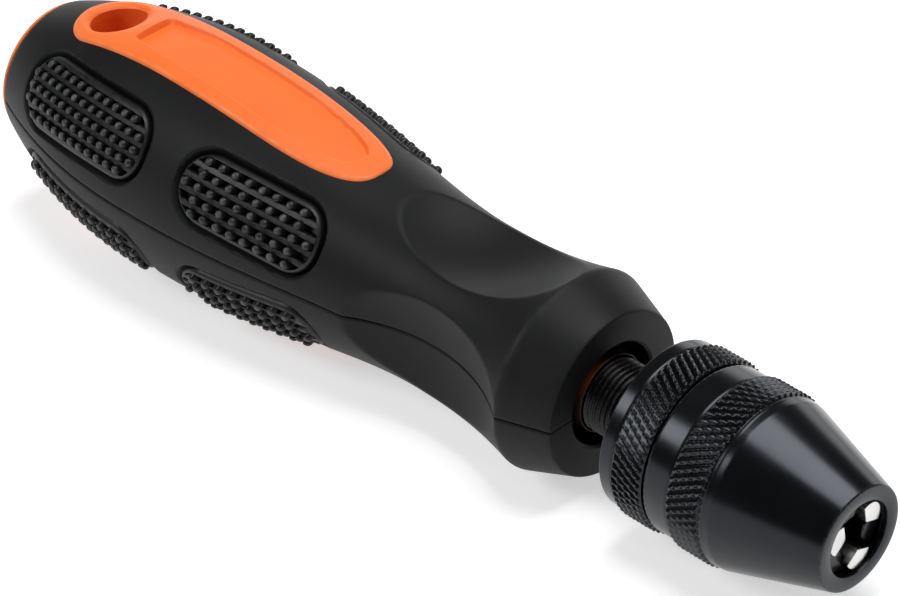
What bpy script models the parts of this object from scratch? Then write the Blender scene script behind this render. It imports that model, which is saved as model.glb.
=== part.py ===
"""Pin vise: a moulded handle with soft grip pads, and a three-jaw screw chuck on a threaded spindle.

Metres. The origin is the middle of the flat tail face. +X runs along the tool to the chuck's mouth
and +Z is up, through the inlay. Stations along the tool are distances from the tail face.
"""

import math

import bmesh
import bpy
from mathutils import Matrix, Vector

MM = 0.001

# Clearances
FIT_GAP = 0.3 * MM
PAD_GROOVE = 0.7 * MM
CUT_OVER = 2.0 * MM

# Handle outline
TAIL_LENGTH = 2.2 * MM
TAIL_FACE_RADIUS = 6.5 * MM
TAIL_RADIUS = 10.1 * MM
BELLY_STATION = 29.0 * MM
BELLY_RADIUS = 15.45 * MM
HANDLE_LENGTH = 98.3 * MM
NOSE_LENGTH = 7.6 * MM
RIDGE_STATION = HANDLE_LENGTH - NOSE_LENGTH
RIDGE_RADIUS = 13.05 * MM
WAIST_TO_RIDGE = 16.7 * MM
WAIST_STATION = RIDGE_STATION - WAIST_TO_RIDGE
WAIST_RADIUS = 11.1 * MM
NOSE_RADIUS = 10.65 * MM
NOSE_BORE_RADIUS = 6.65 * MM
NOSE_RECESS = 1.2 * MM
SHELL_WALL = 2.6 * MM

# Finger scallops round the waist
SCALLOP_COUNT = 4
SCALLOP_TO_RIDGE = 13.6 * MM
SCALLOP_STATION = RIDGE_STATION - SCALLOP_TO_RIDGE
SCALLOP_FLOOR = 9.1 * MM
SCALLOP_RADIUS = 28.0 * MM
SCALLOP_WALL = 1.6 * MM

# Inlay that shows on top and underneath, its sunken panel and the hang hole
HOLE_STATION = 13.2 * MM
HOLE_RADIUS = 3.35 * MM
INLAY_REAR_RADIUS = 5.8 * MM
INLAY_WIDE_STATION = 38.0 * MM
INLAY_HALF_WIDTH = 6.0 * MM
INLAY_TO_WAIST = 13.4 * MM
INLAY_FRONT = WAIST_STATION - INLAY_TO_WAIST
INLAY_POWER = 3.0
INLAY_PROUD = 0.5 * MM
PANEL_REAR = 19.8 * MM
PANEL_MARGIN = 3.7 * MM
PANEL_FRONT = INLAY_FRONT - PANEL_MARGIN
PANEL_RIM = 2.2 * MM
PANEL_DEPTH = 0.6 * MM

# Grip pads: two along the handle at each of four angles about its axis
PAD_ANGLE = math.radians(58.5)
PAD_CORNER = 4.2 * MM
PAD_SINK = 0.2 * MM
PAD_THICKNESS = 0.9 * MM
PAD_ROWS = 5
PAD_ROW_PITCH = 1.7 * MM
NUB_SIZE = 1.15 * MM
NUB_HEIGHT = 1.2 * MM
NUB_MARGIN = 0.8 * MM
PAD_START = 8.0 * MM
PAD_SPACE = 6.9 * MM
PAD_TO_WAIST = 14.4 * MM
PAD_RUN = WAIST_STATION - PAD_TO_WAIST - PAD_SPACE - PAD_START
REAR_PAD_SHARE = 0.528
REAR_PAD_LENGTH = PAD_RUN * REAR_PAD_SHARE
REAR_PAD_STATION = PAD_START + REAR_PAD_LENGTH / 2
REAR_PAD_WIDTH = 9.6 * MM
REAR_PAD_NUBS = 12
FRONT_PAD_LENGTH = PAD_RUN - REAR_PAD_LENGTH
FRONT_PAD_STATION = WAIST_STATION - PAD_TO_WAIST - FRONT_PAD_LENGTH / 2
FRONT_PAD_WIDTH = 9.0 * MM
FRONT_PAD_NUBS = 9

# Spindle
SPINDLE_RADIUS = 5.0 * MM
SPINDLE_BARE_LENGTH = 7.65 * MM
SPINDLE_GRIP = 10.2 * MM
SPINDLE_BURIED = 24.0 * MM
SPINDLE_HEAD_LENGTH = 6.0 * MM
SPINDLE_HEAD_FACTOR = 1.25
SPINDLE_CHAMFER = 0.6 * MM

# Chuck outline
CHUCK_RADIUS = 10.75 * MM
KNURL_RADIUS = 11.2 * MM
KNURL_EDGE = 0.3 * MM
CHUCK_EDGE = 0.6 * MM
COLLAR_LENGTH = 6.15 * MM
COLLAR_RIM = 2.1 * MM
SLEEVE_GAP = 0.8 * MM
SLEEVE_LENGTH = 23.1 * MM
SLEEVE_BAND = 3.6 * MM
SLEEVE_KNURL = 4.9 * MM
SLEEVE_RIM = 1.5 * MM
SLEEVE_WALL = 1.0 * MM
MOUTH_FACE_RADIUS = 6.75 * MM
MOUTH_RADIUS = 4.85 * MM
MOUTH_LIP = 1.0 * MM

# Jaws and the split nut that drives them
JAW_COUNT = 3
JAW_RADIUS = 1.4 * MM
JAW_ANGLE = math.radians(15.0)
JAW_FIRST_TURN = math.radians(-50.0)
JAW_RECESS = 0.4 * MM
JAW_TIP_CENTRE = 2.9 * MM
JAW_OPENING = 2.0 * MM
JAW_REACH = 20.4 * MM
JAW_COVER = 0.4 * MM
BODY_NOSE_RECESS = 2.5 * MM
BIT_BORE_RADIUS = 2.3 * MM
BIT_BORE_WALL = 1.5 * MM
NUT_LENGTH = 2.0 * MM
NUT_RECESS = 13.4 * MM
THRUST_RING = 0.6 * MM

# Facets
HANDLE_SIDES = 32
CHUCK_SIDES = 30
HANDLE_STEPS = 15
SMALL_SIDES = 20
JAW_SIDES = 14
ARC_STEPS = 6

# Places and sizes that follow from those above
SHELL_START = TAIL_LENGTH + FIT_GAP
COLLAR_X = HANDLE_LENGTH + SPINDLE_BARE_LENGTH
COLLAR_FRONT = COLLAR_X + COLLAR_LENGTH
SLEEVE_X = COLLAR_FRONT + SLEEVE_GAP
MOUTH_X = SLEEVE_X + SLEEVE_LENGTH
SPINDLE_TIP = COLLAR_X + SPINDLE_GRIP
SPINDLE_TAIL = HANDLE_LENGTH - SPINDLE_BURIED - SPINDLE_HEAD_LENGTH
CORE_NECK_RADIUS = SCALLOP_FLOOR - SCALLOP_WALL
SNOUT_RADIUS = NOSE_BORE_RADIUS - FIT_GAP
POCKET_DEPTH = PAD_SINK + PAD_THICKNESS + FIT_GAP
SLEEVE_BORE = CHUCK_RADIUS - SLEEVE_WALL
STEM_RADIUS = SLEEVE_BORE - FIT_GAP
JAW_TIP = MOUTH_X - JAW_RECESS
JAW_TAIL = JAW_TIP - JAW_REACH
BODY_NOSE = MOUTH_X - BODY_NOSE_RECESS
NUT_FRONT = MOUTH_X - NUT_RECESS
NUT_REAR = NUT_FRONT - NUT_LENGTH
RING_REAR = NUT_REAR - FIT_GAP - THRUST_RING
OVERSIZE = 2 * BELLY_RADIUS

ORANGE_PLASTIC = ("orange_plastic", (0.90, 0.17, 0.03), 0.42, 0.0)
BLACK_GRIP = ("black_grip", (0.020, 0.020, 0.022), 0.62, 0.0)
BLACK_RUBBER = ("black_rubber", (0.013, 0.013, 0.014), 0.50, 0.0)
BLACK_ANODISED = ("black_anodised", (0.022, 0.022, 0.025), 0.30, 0.9)
DARK_STEEL = ("dark_steel", (0.035, 0.035, 0.037), 0.35, 1.0)
BRIGHT_STEEL = ("bright_steel", (0.72, 0.72, 0.73), 0.22, 1.0)


# Scene helpers


def clear_scene():
    for obj in list(bpy.data.objects):
        bpy.data.objects.remove(obj)


def material_of(finish):
    name, colour, roughness, metallic = finish
    material = bpy.data.materials.get(name)
    if material is None:
        material = bpy.data.materials.new(name)
        material.use_nodes = True
        shader = material.node_tree.nodes["Principled BSDF"]
        shader.inputs["Base Color"].default_value = (*colour, 1.0)
        shader.inputs["Roughness"].default_value = roughness
        shader.inputs["Metallic"].default_value = metallic
    return material


def mesh_of(name, bm):
    """Turns a finished bmesh into a smooth-shaded mesh."""
    mesh = bpy.data.meshes.new(name)
    bm.to_mesh(mesh)
    bm.free()
    mesh.shade_smooth()
    mesh.set_sharp_from_angle(angle=math.radians(35))
    return mesh


def add_object(name, mesh, turn=0.0):
    obj = bpy.data.objects.new(name, mesh)
    bpy.context.scene.collection.objects.link(obj)
    obj.rotation_euler.x = turn
    return obj


def piece(name, mesh, finish, parent, turn=0.0):
    """One named piece of the tool, turned about the tool's axis."""
    obj = add_object(name, mesh, turn)
    if not mesh.materials:
        mesh.materials.append(material_of(finish))
    obj.parent = parent
    return obj


def cutter(name, mesh, turn=0.0):
    """A helper shape, which is not a piece of the tool."""
    obj = add_object(name, mesh, turn)
    obj.hide_render = True
    obj.display_type = "WIRE"
    return obj


def combine(obj, operation, *others):
    for other in others:
        modifier = obj.modifiers.new(f"{operation.lower()}_{other.name}", "BOOLEAN")
        modifier.operation = operation
        modifier.solver = "EXACT"
        modifier.object = other


# Shape helpers


def verts_of(geometry):
    return [v for v in geometry if isinstance(v, bmesh.types.BMVert)]


def revolve(profile, sides, closed=False):
    """Turns (x, radius) points about the X axis. An open profile starts and ends on the axis."""
    bm = bmesh.new()
    verts = [bm.verts.new((x, 0.0, radius)) for x, radius in profile]
    edges = [bm.edges.new(pair) for pair in zip(verts, verts[1:])]
    if closed:
        edges.append(bm.edges.new((verts[-1], verts[0])))
    bmesh.ops.spin(
        bm, geom=verts + edges, cent=(0, 0, 0), axis=(1, 0, 0), angle=math.tau, steps=sides, use_merge=True
    )
    bmesh.ops.remove_doubles(bm, verts=bm.verts, dist=1e-7)
    bmesh.ops.recalc_face_normals(bm, faces=bm.faces)
    return bm


def prism(outline, low, high):
    """A flat (x, y) outline made solid from height low to height high."""
    bm = bmesh.new()
    face = bm.faces.new([bm.verts.new((x, y, low)) for x, y in outline])
    lifted = verts_of(bmesh.ops.extrude_face_region(bm, geom=[face])["geom"])
    bmesh.ops.translate(bm, verts=lifted, vec=(0, 0, high - low))
    bmesh.ops.recalc_face_normals(bm, faces=bm.faces)
    return bm


def cylinder(radius, length, sides, matrix):
    """A cylinder along its own Z axis, placed by a matrix."""
    bm = bmesh.new()
    bmesh.ops.create_cone(
        bm, cap_ends=True, segments=sides, radius1=radius, radius2=radius, depth=length, matrix=matrix
    )
    return bm


def slice_off(bm, point, normal):
    """Removes what lies on the normal's side of a plane, and closes the cut."""
    geometry = [*bm.verts, *bm.edges, *bm.faces]
    cut = bmesh.ops.bisect_plane(bm, geom=geometry, plane_co=point, plane_no=normal, clear_outer=True)
    rim = [e for e in cut["geom_cut"] if isinstance(e, bmesh.types.BMEdge)]
    bmesh.ops.edgeloop_fill(bm, edges=rim)
    bmesh.ops.recalc_face_normals(bm, faces=bm.faces)


def with_copies(bm, count):
    """The same shape at equal turns about the X axis, in one bmesh."""
    first = [*bm.verts, *bm.edges, *bm.faces]
    for i in range(1, count):
        verts = verts_of(bmesh.ops.duplicate(bm, geom=first)["geom"])
        turn = Matrix.Rotation(math.tau * i / count, 3, "X")
        bmesh.ops.rotate(bm, verts=verts, cent=(0, 0, 0), matrix=turn)
    return bm


def spread(start, end, steps):
    return [start + (end - start) * i / steps for i in range(steps + 1)]


def arc(centre, radius, start, end, steps=ARC_STEPS):
    """Points of an arc in the plane, both ends included."""
    x, y = centre
    return [(x + radius * math.cos(a), y + radius * math.sin(a)) for a in spread(start, end, steps)]


# Handle outline


def smoothstep(t):
    return t * t * (3 - 2 * t)


def handle_radius(x):
    """Outside radius of the handle at a station, before the scallops."""
    if x <= BELLY_STATION:
        t = (x - SHELL_START) / (BELLY_STATION - SHELL_START)
        return TAIL_RADIUS + (BELLY_RADIUS - TAIL_RADIUS) * (1 - (1 - t) ** 2.1)
    if x <= WAIST_STATION:
        t = (x - BELLY_STATION) / (WAIST_STATION - BELLY_STATION)
        return BELLY_RADIUS + (WAIST_RADIUS - BELLY_RADIUS) * smoothstep(t**1.25)
    if x <= RIDGE_STATION:
        t = (x - WAIST_STATION) / (RIDGE_STATION - WAIST_STATION)
        return WAIST_RADIUS + (RIDGE_RADIUS - WAIST_RADIUS) * t**2.4
    t = (x - RIDGE_STATION) / (HANDLE_LENGTH - RIDGE_STATION)
    return RIDGE_RADIUS + (NOSE_RADIUS - RIDGE_RADIUS) * t


def outside_profile(inset):
    """(x, radius) points from the shells' tail edge to their nose, moved inwards by inset."""
    curve = spread(SHELL_START, RIDGE_STATION, HANDLE_STEPS)
    return [(x, handle_radius(x) - inset) for x in [*curve, HANDLE_LENGTH]]


def handle_solid(name, inset):
    """A helper in the handle's outside shape, with no holes."""
    skin = outside_profile(inset)
    profile = [(SHELL_START, 0.0), *skin, (HANDLE_LENGTH, 0.0)]
    return cutter(name, mesh_of(name, revolve(profile, HANDLE_SIDES)))


def core_profile(grow):
    """(x, radius) points of the core inside the shells, grown outwards by a clearance."""
    barrel = [(x, handle_radius(x) - SHELL_WALL + grow) for x in spread(SHELL_START, BELLY_STATION, 5)]
    full = BELLY_RADIUS - SHELL_WALL
    neck_start = SCALLOP_STATION - math.sqrt(2 * SCALLOP_RADIUS * (WAIST_RADIUS - SCALLOP_FLOOR))
    taper_run = neck_start - BELLY_STATION
    narrowing = CORE_NECK_RADIUS - full
    taper = [
        (BELLY_STATION + taper_run * t, full + narrowing * smoothstep(t) + grow)
        for t in spread(0.2, 1.0, 4)
    ]
    shoulder = RIDGE_STATION + grow
    return [*barrel, *taper, (shoulder, CORE_NECK_RADIUS + grow), (shoulder, SNOUT_RADIUS + grow)]


# Handle pieces


def inlay_outline(grow, front):
    """The inlay from above: round behind the hang hole, widest at mid-length, blunt in front."""
    rise = (INLAY_HALF_WIDTH - INLAY_REAR_RADIUS) / (INLAY_WIDE_STATION - HOLE_STATION)
    lean = math.asin(rise)
    rear = arc((HOLE_STATION, 0), INLAY_REAR_RADIUS + grow, math.pi / 2 + lean, 3 * math.pi / 2 - lean)
    nose = []
    for a in spread(-math.pi / 2, math.pi / 2, 2 * ARC_STEPS):
        along = abs(math.cos(a)) ** (2 / INLAY_POWER)
        across = math.copysign(abs(math.sin(a)) ** (2 / INLAY_POWER), a)
        x = INLAY_WIDE_STATION + (front - INLAY_WIDE_STATION) * along
        nose.append((x, (INLAY_HALF_WIDTH + grow) * across))
    return rear + nose


def panel_outline():
    """The sunken panel: the inlay drawn in by its rim, and cut square at the rear."""
    outline = inlay_outline(-PANEL_RIM, PANEL_FRONT)
    rear_half_width = INLAY_REAR_RADIUS - PANEL_RIM + (INLAY_HALF_WIDTH - INLAY_REAR_RADIUS) * (
        PANEL_REAR - HOLE_STATION
    ) / (INLAY_WIDE_STATION - HOLE_STATION)
    front = [p for p in outline if p[0] > PANEL_REAR]
    return [(PANEL_REAR, rear_half_width), (PANEL_REAR, -rear_half_width), *front]


def both_faces(outline):
    """An outline cut straight down through the top and straight up through the underside."""
    return with_copies(prism(outline, FIT_GAP, OVERSIZE), 2)


def make_core(parent):
    tail = [(x, TAIL_FACE_RADIUS + y) for x, y in tail_curve()]
    front = HANDLE_LENGTH - NOSE_RECESS
    profile = [(0.0, 0.0), *tail, *core_profile(0.0), (front, SNOUT_RADIUS), (front, 0.0)]
    mesh = mesh_of("handle_core", revolve(profile, HANDLE_SIDES))
    core = piece("handle_core", mesh, ORANGE_PLASTIC, parent)

    inlays = cutter("inlay_faces", mesh_of("inlay_faces", both_faces(inlay_outline(0.0, INLAY_FRONT))))
    combine(inlays, "INTERSECT", handle_solid("inlay_outside", -INLAY_PROUD))
    combine(core, "UNION", inlays)

    panels = cutter("panels", mesh_of("panels", both_faces(panel_outline())))
    combine(panels, "DIFFERENCE", handle_solid("panel_floor", PANEL_DEPTH - INLAY_PROUD))
    through = cylinder(HOLE_RADIUS, 2 * OVERSIZE, SMALL_SIDES, Matrix.Translation((HOLE_STATION, 0, 0)))
    combine(core, "DIFFERENCE", panels, cutter("hang_hole", mesh_of("hang_hole", through)))
    combine(core, "DIFFERENCE", *spindle_shapes("socket", FIT_GAP))


def tail_curve():
    """The rounded edge of the tail: (x, rise) from the flat face to the rim, then along to the shells."""
    rise = TAIL_RADIUS - FIT_GAP - TAIL_FACE_RADIUS
    turn = spread(0.0, math.pi / 2, 4)
    rounded = [(0.75 * TAIL_LENGTH * (1 - math.cos(a)), rise * math.sin(a)) for a in turn]
    inner_rise = handle_radius(SHELL_START) - SHELL_WALL - TAIL_FACE_RADIUS
    return [*rounded, (TAIL_LENGTH, rise), (TAIL_LENGTH, inner_rise)]


def make_shells(parent):
    inside = core_profile(FIT_GAP)
    loop = [*outside_profile(0.0), (HANDLE_LENGTH, NOSE_BORE_RADIUS), *reversed(inside)]
    bm = revolve(loop, HANDLE_SIDES, closed=True)
    slice_off(bm, (0, 0, FIT_GAP / 2), (0, 0, -1))
    mesh = mesh_of("grip_shell", bm)
    window_outline = inlay_outline(FIT_GAP, INLAY_FRONT + FIT_GAP)
    windows = cutter("inlay_windows", mesh_of("inlay_windows", both_faces(window_outline)))
    scallops = cutter("scallops", mesh_of("scallops", scallop_shapes()))
    pockets = pad_pockets()
    for name, turn in (("upper_grip_shell", 0.0), ("lower_grip_shell", math.pi)):
        shell = piece(name, mesh, BLACK_GRIP, parent, turn)
        combine(shell, "DIFFERENCE", windows, scallops)
        combine(shell, "DIFFERENCE", *[pocket for side, pocket in pockets if side == name.split("_")[0]])


def scallop_shapes():
    """Shallow round cuts across the waist, for the fingertips."""
    place = Matrix.Translation((SCALLOP_STATION, 0, SCALLOP_FLOOR + SCALLOP_RADIUS))
    across = Matrix.Rotation(math.pi / 2, 4, "X")
    # The cuts end short of each other, so that no two of them meet.
    bm = cylinder(SCALLOP_RADIUS, 1.9 * SCALLOP_FLOOR, 12 * ARC_STEPS, place @ across)
    return with_copies(bm, SCALLOP_COUNT)


# Grip pads


PADS = (
    ("rear", REAR_PAD_STATION, REAR_PAD_LENGTH, REAR_PAD_WIDTH, REAR_PAD_NUBS),
    ("front", FRONT_PAD_STATION, FRONT_PAD_LENGTH, FRONT_PAD_WIDTH, FRONT_PAD_NUBS),
)

# A positive turn about X carries the top of the handle to the right, seen from the tail.
PAD_TURNS = (
    ("upper_right", PAD_ANGLE),
    ("upper_left", -PAD_ANGLE),
    ("lower_right", math.pi - PAD_ANGLE),
    ("lower_left", PAD_ANGLE - math.pi),
)


def rounded_slot(station, length, width, grow):
    """A rectangle with round corners, in the XY plane."""
    radius = PAD_CORNER + grow
    dx = length / 2 - PAD_CORNER
    dy = width / 2 - PAD_CORNER
    quarter = math.pi / 2
    corners = ((dx, -dy, -1), (dx, dy, 0), (-dx, dy, 1), (-dx, -dy, 2))
    outline = []
    for cx, cy, k in corners:
        outline += arc((station + cx, cy), radius, k * quarter, (k + 1) * quarter, ARC_STEPS // 2 + 1)
    return outline


def pad_pockets():
    """The shallow hollows in the shells that the pads stand in, each with the shell that it is in."""
    floor = handle_solid("pocket_floor", POCKET_DEPTH)
    pockets = []
    for where, station, length, width, _ in PADS:
        slot = rounded_slot(station, length, width, PAD_GROOVE)
        mesh = mesh_of(f"pocket_{where}", prism(slot, 0.0, OVERSIZE))
        for corner, turn in PAD_TURNS:
            pocket = cutter(f"pocket_{where}_{corner}", mesh, turn)
            combine(pocket, "DIFFERENCE", floor)
            pockets.append((corner.split("_")[0], pocket))
    return pockets


def nub_lines(count, pitch, reach):
    """Grid lines in one direction: an edge, then two lines for each nub, then the other edge."""
    lines = [-reach]
    for i in range(count):
        centre = (i - (count - 1) / 2) * pitch
        lines += [centre - NUB_SIZE / 2, centre + NUB_SIZE / 2]
    return [*lines, reach]


def clear_of_edge(u, v, length, width):
    """Whether a nub at this place on a pad keeps clear of the pad's rounded outline."""
    along = max(abs(u) - (length / 2 - PAD_CORNER), 0.0)
    across = max(abs(v) - (width / 2 - PAD_CORNER), 0.0)
    return math.hypot(along, across) < PAD_CORNER - NUB_MARGIN


def pad_plate(station, length, width, nubs):
    """A curved plate on top of the handle, larger than the pad, with its nubs drawn up."""
    along = nub_lines(nubs, (length - NUB_MARGIN) / nubs, length / 2 + CUT_OVER / 2)
    across = nub_lines(PAD_ROWS, PAD_ROW_PITCH, width / 2 + CUT_OVER / 2)
    middle = handle_radius(station)

    def on_handle(u, v, depth):
        radius = handle_radius(station + u) - depth
        return (station + u, radius * math.sin(v / middle), radius * math.cos(v / middle))

    bm = bmesh.new()
    top = [[bm.verts.new(on_handle(u, v, PAD_SINK)) for v in across] for u in along]
    raised = []
    for i in range(len(along) - 1):
        for j in range(len(across) - 1):
            face = bm.faces.new((top[i][j], top[i + 1][j], top[i + 1][j + 1], top[i][j + 1]))
            u = (along[i] + along[i + 1]) / 2
            v = (across[j] + across[j + 1]) / 2
            if i % 2 and j % 2 and clear_of_edge(u, v, length, width):
                raised.append(face)
    us = spread(along[0], along[-1], 5)
    vs = spread(across[0], across[-1], 4)
    low = [[bm.verts.new(on_handle(u, v, PAD_SINK + PAD_THICKNESS)) for v in vs] for u in us]
    close_plate(bm, top, low)
    bmesh.ops.recalc_face_normals(bm, faces=bm.faces)
    bmesh.ops.poke(bm, faces=raised, offset=NUB_HEIGHT)
    return bm


def close_plate(bm, top, low):
    """Adds the underside, on its own coarser grid, and the four edges of a plate."""
    for i in range(len(low) - 1):
        for j in range(len(low[0]) - 1):
            bm.faces.new((low[i][j], low[i][j + 1], low[i + 1][j + 1], low[i + 1][j]))
    for upper, lower in ((top[0], low[0]), (top[-1], low[-1])):
        bm.faces.new([*upper, *reversed(lower)])
    for k in (0, -1):
        bm.faces.new([*[row[k] for row in top], *[row[k] for row in reversed(low)]])


def make_pads(parent):
    for where, station, length, width, nubs in PADS:
        plate = mesh_of(f"grip_pad_{where}", pad_plate(station, length, width, nubs))
        edge = mesh_of(f"pad_edge_{where}", prism(rounded_slot(station, length, width, 0.0), 0.0, OVERSIZE))
        for corner, turn in PAD_TURNS:
            pad = piece(f"grip_pad_{where}_{corner}", plate, BLACK_RUBBER, parent, turn)
            combine(pad, "INTERSECT", cutter(f"pad_edge_{where}_{corner}", edge, turn))


# Spindle and chuck


def spindle_shapes(name, grow):
    """Helpers in the shape of the spindle's buried part and of its hexagon head, grown by a clearance."""
    end = SPINDLE_TAIL + SPINDLE_HEAD_LENGTH
    radius = SPINDLE_RADIUS + grow
    shank = [(end - FIT_GAP, 0.0), (end - FIT_GAP, radius), (HANDLE_LENGTH, radius), (HANDLE_LENGTH, 0.0)]
    corner = SPINDLE_RADIUS * SPINDLE_HEAD_FACTOR + grow / math.cos(math.pi / 6)
    start = SPINDLE_TAIL - grow
    head = [(start, 0.0), (start, corner), (end + grow, corner), (end + grow, 0.0)]
    return [
        cutter(f"{name}_shank", mesh_of(f"{name}_shank", revolve(shank, SMALL_SIDES))),
        cutter(f"{name}_head", mesh_of(f"{name}_head", revolve(head, 6))),
    ]


def make_spindle(parent):
    start = SPINDLE_TAIL + SPINDLE_HEAD_LENGTH / 2
    profile = [
        (start, 0.0),
        (start, SPINDLE_RADIUS),
        (SPINDLE_TIP - SPINDLE_CHAMFER, SPINDLE_RADIUS),
        (SPINDLE_TIP, SPINDLE_RADIUS - SPINDLE_CHAMFER),
        (SPINDLE_TIP, 0.0),
    ]
    spindle = piece("spindle", mesh_of("spindle", revolve(profile, SMALL_SIDES)), DARK_STEEL, parent)
    _, head = spindle_shapes("spindle", 0.0)
    combine(spindle, "UNION", head)


def knurl_band(start, end):
    """(x, radius) points of a raised knurled band with small chamfers, from rear to front."""
    return [
        (start, CHUCK_RADIUS),
        (start + KNURL_EDGE, KNURL_RADIUS),
        (end - KNURL_EDGE, KNURL_RADIUS),
        (end, CHUCK_RADIUS),
    ]


def jaw_line(x):
    """Distance from the tool's axis to a jaw's own axis at a station, with the jaws fully open."""
    return JAW_TIP_CENTRE + (JAW_TIP - x) * math.tan(JAW_ANGLE)


def jaw_bore_top(x):
    """Largest radius of the jaw bores at a station."""
    return jaw_line(x) + (JAW_RADIUS + FIT_GAP) / math.cos(JAW_ANGLE)


def body_cone(x):
    """Radius of the chuck body's cone, which covers the jaw bores."""
    return jaw_bore_top(x) + JAW_COVER


def make_chuck_body(parent):
    """The rear collar, stem and cone in one, bored for the spindle, the bit and the jaws."""
    groove = (jaw_line(NUT_REAR) + jaw_line(NUT_FRONT)) / 2 + JAW_RADIUS / 2
    bore = SPINDLE_RADIUS + FIT_GAP
    bore_end = SPINDLE_TIP + FIT_GAP
    loop = [
        (COLLAR_X, CHUCK_RADIUS - CHUCK_EDGE),
        (COLLAR_X + CHUCK_EDGE, CHUCK_RADIUS),
        *knurl_band(COLLAR_X + COLLAR_RIM, COLLAR_FRONT),
        (COLLAR_FRONT, STEM_RADIUS),
        (RING_REAR - FIT_GAP, STEM_RADIUS),
        (RING_REAR - FIT_GAP, groove),
        (NUT_FRONT + FIT_GAP, groove),
        (NUT_FRONT + FIT_GAP, body_cone(NUT_FRONT + FIT_GAP)),
        (BODY_NOSE, body_cone(BODY_NOSE)),
        (BODY_NOSE, BIT_BORE_RADIUS),
        (bore_end + BIT_BORE_WALL, BIT_BORE_RADIUS),
        (bore_end + BIT_BORE_WALL, 0.0),
        (bore_end, 0.0),
        (bore_end, bore),
        (COLLAR_X + CHUCK_EDGE, bore),
        (COLLAR_X, bore + CHUCK_EDGE),
    ]
    mesh = mesh_of("chuck_body", revolve(loop, CHUCK_SIDES, closed=True))
    body = piece("chuck_body", mesh, BLACK_ANODISED, parent)
    hole = mesh_of("jaw_bore", jaw_rod(JAW_RADIUS + FIT_GAP, JAW_TAIL - FIT_GAP, MOUTH_X))
    for i in range(JAW_COUNT):
        combine(body, "DIFFERENCE", cutter(f"jaw_bore_{i + 1}", hole, jaw_turn(i)))


def make_chuck_sleeve(parent):
    band = SLEEVE_X + SLEEVE_BAND
    knurl = band + SLEEVE_KNURL
    shoulder = NUT_FRONT + 2 * FIT_GAP
    lip = MOUTH_X - MOUTH_LIP
    loop = [
        (SLEEVE_X, CHUCK_RADIUS - CHUCK_EDGE),
        (SLEEVE_X + CHUCK_EDGE, CHUCK_RADIUS),
        *knurl_band(band, knurl),
        (knurl + SLEEVE_RIM, CHUCK_RADIUS),
        (MOUTH_X, MOUTH_FACE_RADIUS),
        (MOUTH_X, MOUTH_RADIUS),
        (lip, MOUTH_RADIUS),
        (lip - FIT_GAP, body_cone(lip - FIT_GAP) + FIT_GAP),
        (shoulder, body_cone(shoulder) + FIT_GAP),
        (shoulder, SLEEVE_BORE),
        (SLEEVE_X, SLEEVE_BORE),
    ]
    mesh = mesh_of("chuck_sleeve", revolve(loop, CHUCK_SIDES, closed=True))
    piece("chuck_sleeve", mesh, BLACK_ANODISED, parent)


def make_split_nut(parent):
    """Two half rings round the jaws, each with a tapered inside that clears the jaws' backs."""
    outer = SLEEVE_BORE - FIT_GAP
    section = [
        (NUT_REAR, jaw_bore_top(NUT_REAR)),
        (NUT_REAR, outer),
        (NUT_FRONT, outer),
        (NUT_FRONT, jaw_bore_top(NUT_FRONT)),
    ]
    bm = revolve(section, CHUCK_SIDES, closed=True)
    slice_off(bm, (0, 0, FIT_GAP / 2), (0, 0, -1))
    mesh = mesh_of("nut_half", bm)
    piece("nut_half_upper", mesh, DARK_STEEL, parent)
    piece("nut_half_lower", mesh, DARK_STEEL, parent, math.pi)


def make_thrust_ring(parent):
    """The plain ring behind the nut, which takes the push of the jaws."""
    outer = SLEEVE_BORE - FIT_GAP
    inner = jaw_bore_top(RING_REAR)
    front = RING_REAR + THRUST_RING
    section = [(RING_REAR, inner), (RING_REAR, outer), (front, outer), (front, inner)]
    mesh = mesh_of("thrust_ring", revolve(section, CHUCK_SIDES, closed=True))
    piece("thrust_ring", mesh, DARK_STEEL, parent)


def jaw_turn(i):
    return JAW_FIRST_TURN - math.tau * i / JAW_COUNT


def jaw_rod(radius, tail, tip):
    """A rod above the tool's axis that leans down to it in front, cut square to the axis at both ends."""
    middle = (tail + tip) / 2
    place = Matrix.Translation((middle, 0, jaw_line(middle)))
    lean = Matrix.Rotation(math.pi / 2 + JAW_ANGLE, 4, "Y")
    bm = cylinder(radius, (tip - tail) * 1.3, JAW_SIDES, place @ lean)
    slice_off(bm, (tip, 0, 0), (1, 0, 0))
    slice_off(bm, (tail, 0, 0), (-1, 0, 0))
    return bm


def make_jaws(parent):
    bm = jaw_rod(JAW_RADIUS, JAW_TAIL, JAW_TIP)
    # The inner edge is a roof of 120 degrees, so that three jaws can close on each other.
    for side in (-1, 1):
        normal = Vector((0, side * math.sin(math.pi / 6), -math.cos(math.pi / 6)))
        slice_off(bm, (0, 0, JAW_OPENING), normal)
    # The tail is flattened to run clear of the sleeve's bore.
    slice_off(bm, (0, 0, math.sqrt(STEM_RADIUS**2 - JAW_RADIUS**2)), (0, 0, 1))
    mesh = mesh_of("jaw", bm)
    for i in range(JAW_COUNT):
        piece(f"jaw_{i + 1}", mesh, BRIGHT_STEEL, parent, jaw_turn(i))


def main():
    clear_scene()
    tool = add_object("pin_vise", None)
    make_core(tool)
    make_shells(tool)
    make_pads(tool)
    make_spindle(tool)
    make_chuck_body(tool)
    make_chuck_sleeve(tool)
    make_split_nut(tool)
    make_thrust_ring(tool)
    make_jaws(tool)


main()
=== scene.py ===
import math

import bmesh
import bpy
from mathutils import Matrix, Vector


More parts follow.
